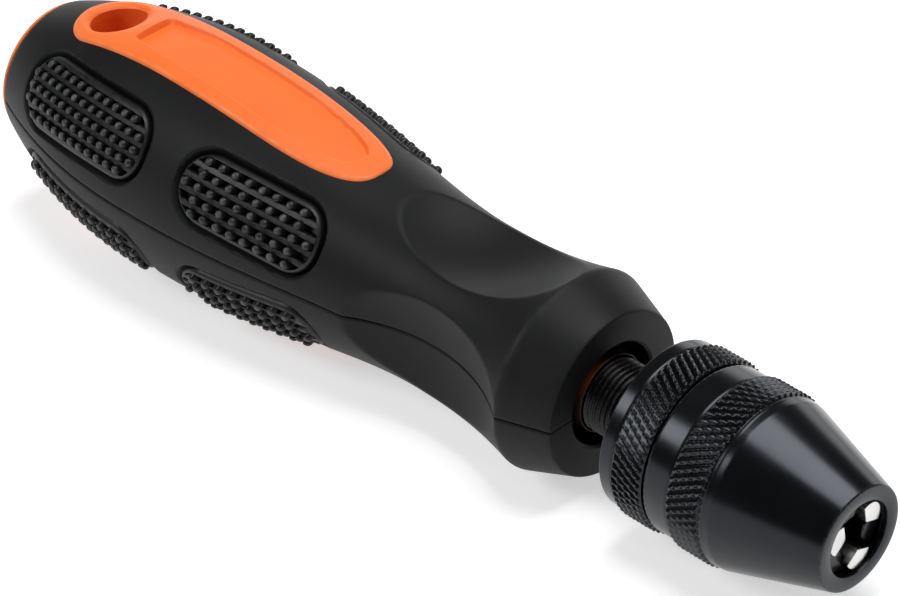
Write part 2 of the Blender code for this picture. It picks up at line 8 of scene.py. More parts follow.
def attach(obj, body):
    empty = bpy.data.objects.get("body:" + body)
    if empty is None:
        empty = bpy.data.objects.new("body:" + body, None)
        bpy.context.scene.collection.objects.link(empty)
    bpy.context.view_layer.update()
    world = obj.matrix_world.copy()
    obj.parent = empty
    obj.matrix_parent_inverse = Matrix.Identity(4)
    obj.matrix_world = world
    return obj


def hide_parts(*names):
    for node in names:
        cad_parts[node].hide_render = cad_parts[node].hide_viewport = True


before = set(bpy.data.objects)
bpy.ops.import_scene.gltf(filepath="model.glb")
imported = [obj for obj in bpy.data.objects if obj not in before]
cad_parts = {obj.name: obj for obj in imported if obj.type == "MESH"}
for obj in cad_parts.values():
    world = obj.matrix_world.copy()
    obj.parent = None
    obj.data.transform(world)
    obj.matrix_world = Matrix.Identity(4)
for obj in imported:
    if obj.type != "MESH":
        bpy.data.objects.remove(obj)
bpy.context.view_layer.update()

mm = 0.001  # pieces are modelled in millimetres and brought to metres when they are finished


# small sums that several pieces share

def clamp(value):
    return max(0.0, min(1.0, value))


def ease(value):
    t = clamp(value)
    return t * t * (3 - 2 * t)


def softMin(a, b, blend):
    gap = clamp(0.5 + 0.5 * (b - a) / blend)
    return b + (a - b) * gap - blend * gap * (1 - gap)


def nearLine(value, line, width):
    # 1 on the line, down to 0 at the width on either side of it
    return clamp(1 - abs(value - line) / width)


def rowsBetween(start, end, step):
    count = max(1, math.ceil(abs(end - start) / step))
    return [start + (end - start) * i / count for i in range(count + 1)]


def quarterTurn(steps):
    return [math.pi / 2 * i / steps for i in range(steps + 1)]


# the handle's outline along its axis: tail, belly, waist, ridge and nose

handleShape = {
    "start": 1.2, "tailRadius": 9.55, "tailCurve": 2.1,
    "bellyX": 29.0, "bellyRadius": 15.45,
    "waistX": 74.0, "waistRadius": 11.1, "waistCurve": 1.25,
    "ridgeX": 91.6, "ridgeRadius": 13.05, "ridgeBlend": 0.22, "flareCurve": 2.4,
    "noseX": 98.3, "noseRadius": 10.65,
}


def handleRadius(x):
    shape = handleShape
    belly, waist, ridge = shape["bellyX"], shape["waistX"], shape["ridgeX"]
    if x <= belly:
        t = max(0.0, (x - shape["start"]) / (belly - shape["start"]))
        swell = 1 - (1 - t) ** shape["tailCurve"]
        return shape["tailRadius"] + (shape["bellyRadius"] - shape["tailRadius"]) * swell
    if x <= waist:
        t = (x - belly) / (waist - belly)
        fall = ease(t ** shape["waistCurve"])
        return shape["bellyRadius"] + (shape["waistRadius"] - shape["bellyRadius"]) * fall
    rise = ((x - waist) / (ridge - waist)) ** shape["flareCurve"]
    flare = shape["waistRadius"] + (shape["ridgeRadius"] - shape["waistRadius"]) * rise
    slope = (shape["noseRadius"] - shape["ridgeRadius"]) / (shape["noseX"] - ridge)
    nose = shape["ridgeRadius"] + slope * (x - ridge)
    return softMin(flare, nose, shape["ridgeBlend"])


def surfaceHeight(x, y, lift=0.0):
    radius = handleRadius(x) + lift
    return math.sqrt(max(radius * radius - y * y, 0.01))


# the inlay's outline: round behind the hang hole, widest past the belly, blunt in front

inlayShape = {
    "holeX": 13.2, "holeRadius": 3.65, "rearRadius": 5.8,
    "wideX": 38.0, "halfWidth": 6.0, "frontX": 60.2, "power": 2.8,
}


def inlayHalfWidth(x, rim=0.0):
    shape = inlayShape
    if x >= shape["wideX"]:
        along = clamp((x - shape["wideX"]) / (shape["frontX"] - shape["wideX"]))
        return (shape["halfWidth"] - rim) * (1 - along ** shape["power"]) ** (1 / shape["power"])
    lean = (shape["halfWidth"] - shape["rearRadius"]) / (shape["wideX"] - shape["holeX"])
    straight = shape["rearRadius"] + lean * (x - shape["holeX"]) - rim
    if x < shape["holeX"]:
        reach = shape["rearRadius"] ** 2 - (x - shape["holeX"]) ** 2
        return min(straight + rim, math.sqrt(max(reach, 0.0)))
    return straight


def insideInlay(x, y, step=0.05):
    # distance in from the outline, square to it
    slope = (inlayHalfWidth(x + step) - inlayHalfWidth(x - step)) / (2 * step)
    return (inlayHalfWidth(x) - abs(y)) / math.sqrt(1 + slope * slope)


# the pads' outline and the pockets that they lie in, u along the pad and v across it

padShape = {
    "angle": 58.5, "span": 0.8, "corner": 4.2, "groove": 0.95, "pocketDepth": 1.4, "pocketEdge": 0.85,
    "rear": {"start": 8.0, "length": 23.6, "width": 9.6, "nubs": 13},
    "front": {"start": 38.5, "length": 21.1, "width": 9.0, "nubs": 10},
}


def padDistance(pad, u, v):
    # how far a point is outside the pad's rounded outline, negative inside
    corner = padShape["corner"]
    alongU = abs(u - pad["length"] / 2) - pad["length"] / 2 + corner
    alongV = abs(v) - pad["width"] / 2 + corner
    outer = math.hypot(max(alongU, 0.0), max(alongV, 0.0))
    return outer + min(max(alongU, alongV), 0.0) - corner


def padHalfWidth(pad, u):
    corner = padShape["corner"]
    nearest = min(u, pad["length"] - u)
    half = pad["width"] / 2
    if nearest >= corner:
        return half
    reach = corner * corner - (corner - nearest) ** 2
    return half - corner + math.sqrt(max(reach, 0.0))


# mesh helpers

def outline(bm, places, closed):
    verts = [bm.verts.new(place) for place in places]
    ends = verts[1:] + verts[:1] if closed else verts[1:]
    return verts, [bm.edges.new(pair) for pair in zip(verts, ends)]


def spinFull(bm, points, steps, closed=False):
    # points are (x, radius) pairs, turned round the tool's axis
    verts, edges = outline(bm, [(x, 0.0, r) for x, r in points], closed)
    bmesh.ops.spin(bm, geom=verts + edges, cent=(0, 0, 0), axis=(1, 0, 0), angle=2 * math.pi,
                   steps=steps, use_merge=True)


def onlyVerts(items):
    return [item for item in items if isinstance(item, bmesh.types.BMVert)]


def polar(co):
    return math.hypot(co.y, co.z), math.atan2(co.y, co.z)


def setPolar(co, radius, angle):
    co.y = radius * math.sin(angle)
    co.z = radius * math.cos(angle)


def turned(degrees):
    return Matrix.Rotation(math.radians(degrees), 4, "X")


def closeUp(bm):
    bmesh.ops.remove_doubles(bm, verts=bm.verts[:], dist=1e-4)
    bmesh.ops.recalc_face_normals(bm, faces=bm.faces[:])


def splitLarge(bm):
    bmesh.ops.triangulate(bm, faces=[face for face in bm.faces if len(face.verts) > 4])


def wearAndHighlightLayer(bm):
    # a 0 to 1 mask on the vertices, which the finishes lighten worn edges with, and on some pieces paint
    # highlights with
    return bm.verts.layers.float.get("edge") or bm.verts.layers.float.new("edge")


def markEdges(bm, rule):
    layer = wearAndHighlightLayer(bm)
    for vert in bm.verts:
        vert[layer] = clamp(rule(vert.co))


def toMesh(name, bm):
    mesh = bpy.data.meshes.new(name)
    bm.to_mesh(mesh)
    bm.free()
    return mesh


def addObject(name, data):
    thing = bpy.data.objects.new(name, data)
    bpy.context.scene.collection.objects.link(thing)
    return thing


def finishPiece(name, bm, body, nodes, finish, sharp=40.0, turn=0.0, tidy=True):
    if tidy:
        closeUp(bm)
    bmesh.ops.transform(bm, matrix=turned(turn), verts=bm.verts[:])
    bmesh.ops.scale(bm, vec=(mm, mm, mm), verts=bm.verts[:])
    mesh = toMesh(name, bm)
    for polygon in mesh.polygons:
        polygon.use_smooth = True
    mesh.set_sharp_from_angle(angle=math.radians(sharp))
    mesh.materials.append(finish)
    piece = addObject(name, mesh)
    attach(piece, body)
    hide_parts(*nodes)


def cutAway(bm, tool):
    # the mesh with the tool's shape taken out of it
    closeUp(bm)
    work = addObject("work", toMesh("work", bm))
    cutter = addObject("tool", toMesh("tool", tool))
    cut = work.modifiers.new("cut", "BOOLEAN")
    cut.operation = "DIFFERENCE"
    cut.solver = "EXACT"
    cut.object = cutter
    shown = work.evaluated_get(bpy.context.evaluated_depsgraph_get())
    result = bmesh.new()
    result.from_mesh(shown.to_mesh())
    shown.to_mesh_clear()
    for item in (work, cutter):
        mesh = item.data
        bpy.data.objects.remove(item)
        bpy.data.meshes.remove(mesh)
    return result


drillBit = {"length": 40.0, "sides": 96}


def drilled(bm, radius, x):
    # a round hole along Z, right through the mesh
    bit = bmesh.new()
    bmesh.ops.create_cone(bit, cap_ends=True, segments=drillBit["sides"], radius1=radius,
                          radius2=radius, depth=drillBit["length"])
    bmesh.ops.translate(bit, vec=(x, 0, 0), verts=bit.verts[:])
    return cutAway(bm, bit)


# shader helpers and the effects that several finishes share

def addNode(tree, kind, place=(0, 0), sockets=None, **values):
    node = tree.nodes.new(kind)
    node.location = place
    for key, value in values.items():
        setattr(node, key, value)
    for key, value in (sockets or {}).items():
        node.inputs[key].default_value = value
    return node


def wire(tree, *pairs):
    for source, target in pairs:
        tree.links.new(source, target)


def newGroup(name, inputs, outputs):
    # every effect takes coordinates and some numbers, and puts out numbers
    group = bpy.data.node_groups.new(name, "ShaderNodeTree")
    group.interface.new_socket("Coordinates", in_out="INPUT", socket_type="NodeSocketVector")
    for label, value in inputs.items():
        socket = group.interface.new_socket(label, in_out="INPUT", socket_type="NodeSocketFloat")
        socket.default_value = value
    for label in outputs:
        group.interface.new_socket(label, in_out="OUTPUT", socket_type="NodeSocketFloat")
    given = addNode(group, "NodeGroupInput", (-800, 0)).outputs
    return group, given, addNode(group, "NodeGroupOutput", (600, 0)).inputs


def mouldGrainGroup():
    # fine spark-eroded mould texture, with a slow mottle over it
    group, given, result = newGroup("mouldGrain", {"Grain": 6000.0, "Mottle": 120.0}, ("Height", "Mottle"))
    fine = addNode(group, "ShaderNodeTexNoise", (-400, 200), {"Detail": 3.0, "Roughness": 0.6})
    slow = addNode(group, "ShaderNodeTexNoise", (-400, -200), {"Detail": 4.0})
    wire(group,
         (given["Coordinates"], fine.inputs["Vector"]), (given["Grain"], fine.inputs["Scale"]),
         (given["Coordinates"], slow.inputs["Vector"]), (given["Mottle"], slow.inputs["Scale"]),
         (fine.outputs["Fac"], result["Height"]), (slow.outputs["Fac"], result["Mottle"]))
    return group


def edgeWearAndHighlightGroup():
    # breaks up a piece's own edge mask, so that rubbed edges look used and not painted on; the same mask
    # also carries painted highlights on some pieces, broken up alike
    group, given, result = newGroup("edgeWearAndHighlight", {"Mask": 0.0, "Break": 900.0, "Amount": 1.0}, ("WearAndHighlightMask",))
    spots = addNode(group, "ShaderNodeTexNoise", (-400, 0), {"Detail": 5.0})
    spread = addNode(group, "ShaderNodeMapRange", (-200, 0), {"From Min": 0.35, "From Max": 0.7})
    times = addNode(group, "ShaderNodeMath", (0, 0), operation="MULTIPLY")
    amount = addNode(group, "ShaderNodeMath", (200, 0), operation="MULTIPLY", use_clamp=True)
    wire(group,
         (given["Coordinates"], spots.inputs["Vector"]), (given["Break"], spots.inputs["Scale"]),
         (spots.outputs["Fac"], spread.inputs["Value"]),
         (spread.outputs["Result"], times.inputs[0]), (given["Mask"], times.inputs[1]),
         (times.outputs["Value"], amount.inputs[0]), (given["Amount"], amount.inputs[1]),
         (amount.outputs["Value"], result["WearAndHighlightMask"]))
    return group


def latheLinesGroup():
    # faint turning marks round the axis, left by the lathe under the finish
    group, given, result = newGroup("latheLines", {"Lines": 4000.0}, ("Height",))
    split = addNode(group, "ShaderNodeSeparateXYZ", (-600, 0))
    across = addNode(group, "ShaderNodeMath", (-400, 100), operation="MULTIPLY")
    turning = {"Scale": 1.0, "Detail": 4.0}
    marks = addNode(group, "ShaderNodeTexNoise", (-200, 0), turning, noise_dimensions="1D")
    wire(group,
         (given["Coordinates"], split.inputs["Vector"]),
         (split.outputs["X"], across.inputs[0]), (given["Lines"], across.inputs[1]),
         (across.outputs["Value"], marks.inputs["W"]), (marks.outputs["Fac"], result["Height"]))
    return group


grainEffect = mouldGrainGroup()
wearAndHighlightEffect = edgeWearAndHighlightGroup()
latheEffect = latheLinesGroup()


class Finish:
    # one material being wired up: its shader, its coordinates and a few short ways to join nodes
    def __init__(self, name):
        self.material = bpy.data.materials.new(name)
        self.material.use_nodes = True
        self.tree = self.material.node_tree
        self.tree.nodes.clear()
        self.shader = addNode(self.tree, "ShaderNodeBsdfPrincipled", (300, 0))
        out = addNode(self.tree, "ShaderNodeOutputMaterial", (600, 0))
        self.join(self.shader.outputs["BSDF"], out.inputs["Surface"])
        self.place = addNode(self.tree, "ShaderNodeTexCoord", (-1100, 0)).outputs["Object"]

    def join(self, a, b):
        self.tree.links.new(a, b)

    def put(self, **values):
        for key, value in values.items():
            self.shader.inputs[key.replace("_", " ")].default_value = value

    def feed(self, name, source):
        self.join(source, self.shader.inputs[name])

    def effect(self, group, **values):
        node = addNode(self.tree, "ShaderNodeGroup", (-800, 0))
        node.node_tree = group
        self.join(self.place, node.inputs["Coordinates"])
        for key, value in values.items():
            if isinstance(value, (int, float)):
                node.inputs[key].default_value = value
            else:
                self.join(value, node.inputs[key])
        return node.outputs

    def attribute(self, name):
        node = addNode(self.tree, "ShaderNodeAttribute", (-1100, -300), attribute_name=name)
        return node.outputs["Fac"]

    def scaled(self, source, low, high, fromLow=0.3, fromHigh=0.7):
        spread = {"From Min": fromLow, "From Max": fromHigh, "To Min": low, "To Max": high}
        node = addNode(self.tree, "ShaderNodeMapRange", (-300, -200), spread)
        self.join(source, node.inputs["Value"])
        return node.outputs["Result"]

    def blend(self, factor, first, second):
        # a Mix node's colours are its sockets 6 and 7 in, and 2 out
        node = addNode(self.tree, "ShaderNodeMix", (-100, 100), data_type="RGBA")
        for socket, value in ((node.inputs[6], first), (node.inputs[7], second)):
            if isinstance(value, tuple):
                socket.default_value = (*value, 1.0)
            else:
                self.join(value, socket)
        self.join(factor, node.inputs[0])
        return node.outputs[2]

    def mottled(self, grain, dark, light):
        return self.blend(self.scaled(grain["Mottle"], 0.0, 1.0), dark, light)

    def wearAndHighlight(self, size, amount):
        return self.effect(wearAndHighlightEffect, Mask=self.attribute("edge"), Break=size, Amount=amount)["WearAndHighlightMask"]

    def bump(self, height, depth, strength, under=None):
        sockets = {"Strength": strength, "Distance": depth}
        node = addNode(self.tree, "ShaderNodeBump", (100, -400), sockets)
        self.join(height, node.inputs["Height"])
        if under:
            self.join(under, node.inputs["Normal"])
        return node.outputs["Normal"]


def charcoalPlastic():
    look = Finish("charcoalPlastic")
    grain = look.effect(grainEffect, Grain=5200.0, Mottle=70.0)
    colour = look.mottled(grain, (0.0076, 0.0079, 0.0085), (0.0104, 0.0108, 0.0115))
    # the ridge's lighter band is a painted highlight
    wearAndHighlight = look.wearAndHighlight(size=700.0, amount=0.5)
    look.feed("Base Color", look.blend(wearAndHighlight, colour, (0.03, 0.031, 0.033)))
    look.feed("Roughness", look.scaled(grain["Mottle"], 0.44, 0.54))
    look.feed("Normal", look.bump(grain["Height"], 0.00002, strength=0.5))
    look.put(Specular_IOR_Level=0.15)
    return look.material


def orangePlastic():
    look = Finish("orangePlastic")
    grain = look.effect(grainEffect, Grain=4200.0, Mottle=60.0)
    colour = look.mottled(grain, (0.93, 0.168, 0.028), (0.98, 0.19, 0.033))
    # edge lightening: a painted highlight on the inlays' edges and panel rims, wear on the tail cap's rim
    wearAndHighlight = look.wearAndHighlight(size=600.0, amount=0.55)
    colour = look.blend(wearAndHighlight, colour, (1.0, 0.33, 0.11))
    # painted shade: the snout's own mask darkens the orange inside the nose
    look.feed("Base Color", look.blend(look.attribute("paintedShade"), colour, (0.02, 0.006, 0.004)))
    look.feed("Roughness", look.scaled(grain["Mottle"], 0.42, 0.5))
    look.feed("Normal", look.bump(grain["Height"], 0.000016, strength=0.4))
    look.put(Specular_IOR_Level=0.35)
    return look.material


def nubRubber():
    look = Finish("nubRubber")
    grain = look.effect(grainEffect, Grain=3600.0, Mottle=240.0)
    colour = look.mottled(grain, (0.0036, 0.0038, 0.0042), (0.006, 0.0063, 0.007))
    # the lighter nub tips and rib tops are a painted highlight
    wearAndHighlight = look.wearAndHighlight(size=1200.0, amount=0.9)
    look.feed("Base Color", look.blend(wearAndHighlight, colour, (0.13, 0.134, 0.142)))
    look.feed("Roughness", look.scaled(grain["Mottle"], 0.38, 0.48))
    look.feed("Normal", look.bump(grain["Height"], 0.00002, strength=0.4))
    look.put(Specular_IOR_Level=0.34)
    return look.material


def blackAnodised():
    look = Finish("blackAnodised")
    grain = look.effect(grainEffect, Grain=9000.0, Mottle=160.0)
    lines = look.effect(latheEffect, Lines=9000.0)
    colour = look.mottled(grain, (0.0018, 0.0019, 0.0024), (0.0028, 0.003, 0.0037))
    # edge lightening: bare metal placed as a painted highlight on the collar's and sleeve's edge lines, wear
    # on the knurl crests
    wearAndHighlight = look.wearAndHighlight(size=2200.0, amount=0.4)
    look.feed("Base Color", look.blend(wearAndHighlight, colour, (0.16, 0.165, 0.18)))
    look.feed("Metallic", look.scaled(wearAndHighlight, 0.0, 0.8, 0.0, 1.0))
    look.feed("Roughness", look.scaled(grain["Mottle"], 0.2, 0.25))
    marks = look.bump(lines["Height"], 0.000004, strength=0.35)
    look.feed("Normal", look.bump(grain["Height"], 0.000006, strength=0.3, under=marks))
    look.put(Specular_IOR_Level=0.33, Specular_Tint=(0.84, 0.9, 1.0, 1.0))
    return look.material


def blackenedSteel():
    look = Finish("blackenedSteel")
    grain = look.effect(grainEffect, Grain=7000.0, Mottle=300.0)
    colour = look.mottled(grain, (0.0015, 0.0015, 0.0015), (0.003, 0.0029, 0.0028))
    wearAndHighlight = look.wearAndHighlight(size=2500.0, amount=0.15)
    look.feed("Base Color", look.blend(wearAndHighlight, colour, (0.3, 0.29, 0.28)))
    look.feed("Metallic", look.scaled(wearAndHighlight, 0.0, 1.0, 0.0, 1.0))
    look.feed("Roughness", look.scaled(grain["Mottle"], 0.2, 0.34))
    look.feed("Normal", look.bump(grain["Height"], 0.000008, strength=0.4))
    look.put(Specular_IOR_Level=0.25)
    return look.material


def brightSteel():
    look = Finish("brightSteel")
    grain = look.effect(grainEffect, Grain=3000.0, Mottle=400.0)
    lines = look.effect(latheEffect, Lines=14000.0)
    look.feed("Base Color", look.mottled(grain, (0.56, 0.555, 0.545), (0.68, 0.675, 0.665)))
    look.feed("Roughness", look.scaled(grain["Mottle"], 0.18, 0.3))
    look.feed("Normal", look.bump(lines["Height"], 0.000005, strength=0.4))
    look.put(Metallic=1.0)
    return look.material


charcoal = charcoalPlastic()
orange = orangePlastic()
rubber = nubRubber()
anodised = blackAnodised()
darkSteel = blackenedSteel()
whiteSteel = brightSteel()
print("finishes ready")


# the two charcoal halves of the handle

gripShell = {
    "rowStep": 0.45, "fineStep": 0.22, "spinSteps": 220, "skinReach": 0.45,
    "seamGap": 0.16, "seamRound": 0.14, "seamReach": 0.3, "seamTurn": 0.5, "seamSteps": 2,
    "scallopX": 77.1, "scallopFloor": 9.0, "scallopRadius": 28.0, "scallopCross": 26.0, "scallopBlend": 0.2,
    "inlayBed": 1.3, "inlayUnder": 0.45, "inlayEdge": 0.4, "bedRear": 5.0, "bedSide": 7.0, "tubeRadius": 4.3,
    "boreRadius": 6.65, "wall": 2.3, "neckX": 66.5, "neckRadius": 7.8,
    "taperRows": (58.0, 50.0, 42.0, 35.0), "rearRows": (29.0, 23.0, 17.0, 11.0, 6.5),
    "wearAndHighlightWidth": 0.9, "highlightAbove": 11.0,
}
noScallop = 99.0  # the radius where no scallop cuts the handle


def scallopRadius(x, angle):
    shell = gripShell
    reach = shell["scallopRadius"] ** 2 - (x - shell["scallopX"]) ** 2
    if reach <= 0:
        return noScallop
    height = shell["scallopFloor"] + shell["scallopRadius"] - math.sqrt(reach)
    half = handleRadius(x) ** 2 - height ** 2
    if half <= 0:
        return noScallop
    off = (angle + math.pi / 4) % (math.pi / 2) - math.pi / 4
    hollow = (half - (height * math.tan(off)) ** 2) / (2 * shell["scallopCross"])
    return (height - max(hollow, 0.0)) / math.cos(off)


def shellSkin(x, angle):
    shell = gripShell
    radius = softMin(handleRadius(x), scallopRadius(x, angle), shell["scallopBlend"])
    drop = 0.0
    for side in (-1, 1):
        turn = angle - side * math.radians(padShape["angle"])
        if abs(turn) > padShape["span"]:
            continue
        v = handleRadius(x) * math.sin(turn)
        for pad in (padShape["rear"], padShape["front"]):
            away = padDistance(pad, x - pad["start"], v)
            pocket = ease((padShape["groove"] - away) / padShape["pocketEdge"])
            drop = max(drop, padShape["pocketDepth"] * pocket)
    y = radius * math.sin(angle)
    if inlayShape["holeX"] - shell["bedRear"] < x < inlayShape["frontX"] and abs(y) < shell["bedSide"]:
        bed = ease((insideInlay(x, y) - shell["inlayUnder"]) / shell["inlayEdge"])
        drop = max(drop, shell["inlayBed"] * bed)
    return radius - drop


def shellProfile():
    # the outside from tail to nose and the inside back again; small edge breaks are plain numbers
    shape, shell = handleShape, gripShell
    start, ridge, nose = shape["start"], shape["ridgeX"], shape["noseX"]
    padFrom = padShape["rear"]["start"] - 1.5
    padTo = padShape["front"]["start"] + padShape["front"]["length"] + 1.5
    marks = (start + 0.35, padFrom, padTo, ridge - 2, ridge + 1.5, nose - 0.2)
    stations = [marks[0]]
    for i, (here, there) in enumerate(zip(marks, marks[1:])):  # wide and fine rows by turns
        stations += rowsBetween(here, there, shell["fineStep" if i % 2 else "rowStep"])[1:]
    skin = [(start, handleRadius(start) - 0.4), (start + 0.1, handleRadius(start) - 0.12)]
    skin += [(x, handleRadius(x)) for x in stations]
    skin += [(nose - 0.06, handleRadius(nose - 0.06) - 0.04), (nose, handleRadius(nose) - 0.18)]
    bore, neck = shell["boreRadius"], shell["neckRadius"]
    back = [(nose, bore + 0.3), (nose - 0.3, bore), (ridge + 0.3, bore)]
    back += [(ridge + 0.3, neck), (shell["neckX"], neck)]
    full = handleRadius(shape["bellyX"]) - shell["wall"]
    for x in shell["taperRows"]:
        t = (x - shape["bellyX"]) / (shell["neckX"] - shape["bellyX"])
        back.append((x, full + (neck - full) * ease(t)))
    back += [(x, handleRadius(x) - shell["wall"]) for x in (*shell["rearRows"], start)]
    return skin + back


def buildShells():
    shell = gripShell
    bm = bmesh.new()
    loop, edges = outline(bm, [(x, r, 0.0) for x, r in shellProfile()], closed=True)
    bm.faces.new(loop)
    near = math.radians(shell["seamTurn"])
    last = loop + edges
    for angle, steps in ((near, shell["seamSteps"]), (math.pi - 2 * near, shell["spinSteps"]),
                         (near, shell["seamSteps"])):
        done = bmesh.ops.spin(bm, geom=last, cent=(0, 0, 0), axis=(1, 0, 0), angle=angle, steps=steps)
        last = done["geom_last"]
    bm.faces.new(onlyVerts(last))
    for vert in bm.verts:
        radius, angle = polar(vert.co)
        x = vert.co.x
        shift = handleRadius(x) - radius
        if shift > shell["skinReach"]:
            continue  # inside the wall
        seam = (math.pi / 2 - abs(angle)) * radius
        depth = shell["seamRound"] * (1 - clamp(seam / shell["seamReach"])) ** 2
        setPolar(vert.co, shellSkin(x, angle) - shift - depth, angle)
    bm.normal_update()
    splitLarge(bm)
    bmesh.ops.translate(bm, vec=(0, 0, shell["seamGap"] / 2), verts=bm.verts[:])
    bm = drilled(bm, shell["tubeRadius"], inlayShape["holeX"])

    # a painted highlight along the outside of the ridge
    def ridgeHighlight(co):
        outside = polar(co)[0] > shell["highlightAbove"]
        return nearLine(co.x, handleShape["ridgeX"], shell["wearAndHighlightWidth"]) if outside else 0.0

    markEdges(bm, ridgeHighlight)
    lower = bm.copy()
    finishPiece("upperGripShell", bm, "handle", ["upper_grip_shell"], charcoal)
    finishPiece("lowerGripShell", lower, "handle", ["lower_grip_shell"], charcoal, turn=180)


buildShells()
print("grip shells ready")


# the orange core: both inlays, the hang hole's tube, the tail cap and the snout inside the nose

inlayFace = {
    "proud": 0.3, "flatter": 0.2, "edge": 0.7, "edgeDrop": 0.5, "edgeTurn": 0.98, "under": 1.6,
    "panelRear": 19.8, "panelFront": 56.7, "panelRim": 2.2, "panelDepth": 0.85, "panelSoft": 0.4,
    "panelFlatter": 0.95, "panelNarrower": 0.7, "narrowReach": 8.0, "panelCorner": 0.5,
    "lip": 0.9, "lipForward": 1.3, "lipDrop": 0.7,
    "highlightAt": 0.25, "wearAndHighlightWidth": 0.35, "panelHighlight": 0.7, "panelHighlightWidth": 0.2,
    "rows": 300, "columns": 92,
}


def insidePanelFront(x, y):
    # distance in from the panel's blunt front end
    power = inlayShape["power"]
    half = inlayShape["halfWidth"] - inlayFace["panelRim"]
    reach = inlayFace["panelFront"] - inlayShape["wideX"]
    along = (x - inlayShape["wideX"]) / reach
    across = abs(y) / half
    slope = power * math.hypot(along ** (power - 1) / reach, across ** (power - 1) / half)
    return (1 - along ** power - across ** power) / max(slope, 0.05)


def insidePanel(x, y):
    if x > inlayShape["wideX"]:
        return insidePanelFront(x, y)
    rear = inlayFace["panelRear"]
    width = inlayHalfWidth(max(x, rear), rim=inlayFace["panelRim"])
    width -= inlayFace["panelNarrower"] * (1 - ease((x - rear) / inlayFace["narrowReach"]))
    return softMin(width - abs(y), x - rear, inlayFace["panelCorner"])


def inlayHeight(x, y, inside, sunk):
    shape, face = inlayShape, inlayFace
    panel = ease((sunk + face["panelSoft"] / 2) / face["panelSoft"])
    flatter = face["flatter"] + (face["panelFlatter"] - face["flatter"]) * panel
    height = surfaceHeight(x, y, face["proud"]) + flatter * (y / shape["halfWidth"]) ** 2
    height -= face["panelDepth"] * panel
    bend = 1 - clamp(inside / face["edge"])
    height -= face["edgeDrop"] * (1 - math.sqrt(1 - bend * bend * face["edgeTurn"]))
    away = math.hypot(x - shape["holeX"], y)
    forward = clamp((x - shape["holeX"]) / max(away, 0.1)) ** 3  # the hole's lip is longer to the front
    reach = face["lip"] * (1 + face["lipForward"] * forward)
    return height - face["lipDrop"] * (1 - clamp((away - shape["holeRadius"]) / reach)) ** 2


def buildInlays():
    shape, face = inlayShape, inlayFace
    rear = shape["holeX"] - shape["rearRadius"]
    length = shape["frontX"] - rear
    bm = bmesh.new()
    bmesh.ops.create_grid(bm, x_segments=face["rows"], y_segments=face["columns"], size=1.0)
    layer = wearAndHighlightLayer(bm)
    for vert in bm.verts:
        s = (vert.co.x + 1) / 2
        x = rear + length * (0.5 - 0.5 * math.cos(math.pi * s)) * 0.5  # rows stand closer at both ends
        x += length * s * 0.5
        y = vert.co.y * inlayHalfWidth(x)
        inside = insideInlay(x, y)
        sunk = insidePanel(x, y)
        # a painted highlight along the inlay's edge and the panel's rim
        panelHighlight = face["panelHighlight"] * nearLine(sunk, -face["highlightAt"], face["panelHighlightWidth"])
        vert[layer] = max(nearLine(inside, face["highlightAt"], face["wearAndHighlightWidth"]), panelHighlight)
        vert.co = (x, y, inlayHeight(x, y, inside, sunk))
    closeUp(bm)
    grown = bmesh.ops.extrude_face_region(bm, geom=bm.faces[:])["geom"]
    for vert in onlyVerts(grown):
        vert.co.z = surfaceHeight(vert.co.x, vert.co.y) - face["under"]
    bm = drilled(bm, shape["holeRadius"], shape["holeX"])
    lower = bm.copy()
    finishPiece("upperInlay", bm, "handle", ["handle_core"], orange)
    finishPiece("lowerInlay", lower, "handle", ["handle_core"], orange, turn=180)


hangTube = {"gap": 0.02, "wall": 0.9, "below": 0.55, "reach": 10.0, "steps": 96, "cuts": 12}


def buildHangTube():
    inner = inlayShape["holeRadius"] + hangTube["gap"]
    outer = inner + hangTube["wall"]
    top = hangTube["reach"]
    bm = bmesh.new()
    wall = [(inner, 0.0, top), (inner, 0.0, -top), (outer, 0.0, -top), (outer, 0.0, top)]
    verts, edges = outline(bm, wall, closed=True)
    bmesh.ops.spin(bm, geom=verts + edges, cent=(0, 0, 0), axis=(0, 0, 1), angle=2 * math.pi,
                   steps=hangTube["steps"], use_merge=True)
    for vert in bm.verts:  # both ends follow the handle's surface
        vert.co.x += inlayShape["holeX"]
        vert.co.z = math.copysign(surfaceHeight(vert.co.x, vert.co.y) - hangTube["below"], vert.co.z)
    upright = [e for e in bm.edges if abs(e.verts[0].co.z - e.verts[1].co.z) > top / 2]
    bmesh.ops.subdivide_edges(bm, edges=upright, cuts=hangTube["cuts"])
    finishPiece("hangHoleTube", bm, "handle", ["handle_core"], orange)


tailCap = {
    "face": 7.2, "rim": 9.3, "length": 1.05, "dish": 0.12, "dishEdge": 1.6, "faceX": 0.03, "faceEdge": 0.9,
    "roundShare": 0.75, "roundSteps": 10, "plugRadii": (7.1, 7.0), "plugEnd": 3.4, "steps": 144,
    "wearAndHighlightWidth": 0.4, "rubBefore": 1.0,
}


def buildTailCap():
    cap = tailCap
    face, rim, length, end = cap["face"], cap["rim"], cap["length"], cap["plugEnd"]
    points = [(cap["dish"], 0.0), (cap["dish"], face - cap["dishEdge"])]
    points += [(cap["faceX"], face - cap["faceEdge"])]
    for turn in quarterTurn(cap["roundSteps"]):
        x = cap["roundShare"] * length * (1 - math.cos(turn))
        points.append((x, face + (rim - face) * math.sin(turn)))
    points += [(length - 0.12, rim), (length, rim - 0.15)]
    points += [(length, cap["plugRadii"][0]), (end, cap["plugRadii"][1]), (end, 0.0)]
    bm = bmesh.new()
    spinFull(bm, points, cap["steps"])

    def rimRub(co):
        return nearLine(polar(co)[0], rim, cap["wearAndHighlightWidth"]) if co.x < cap["rubBefore"] else 0.0

    markEdges(bm, rimRub)
    finishPiece("tailCap", bm, "handle", ["handle_core"], orange)


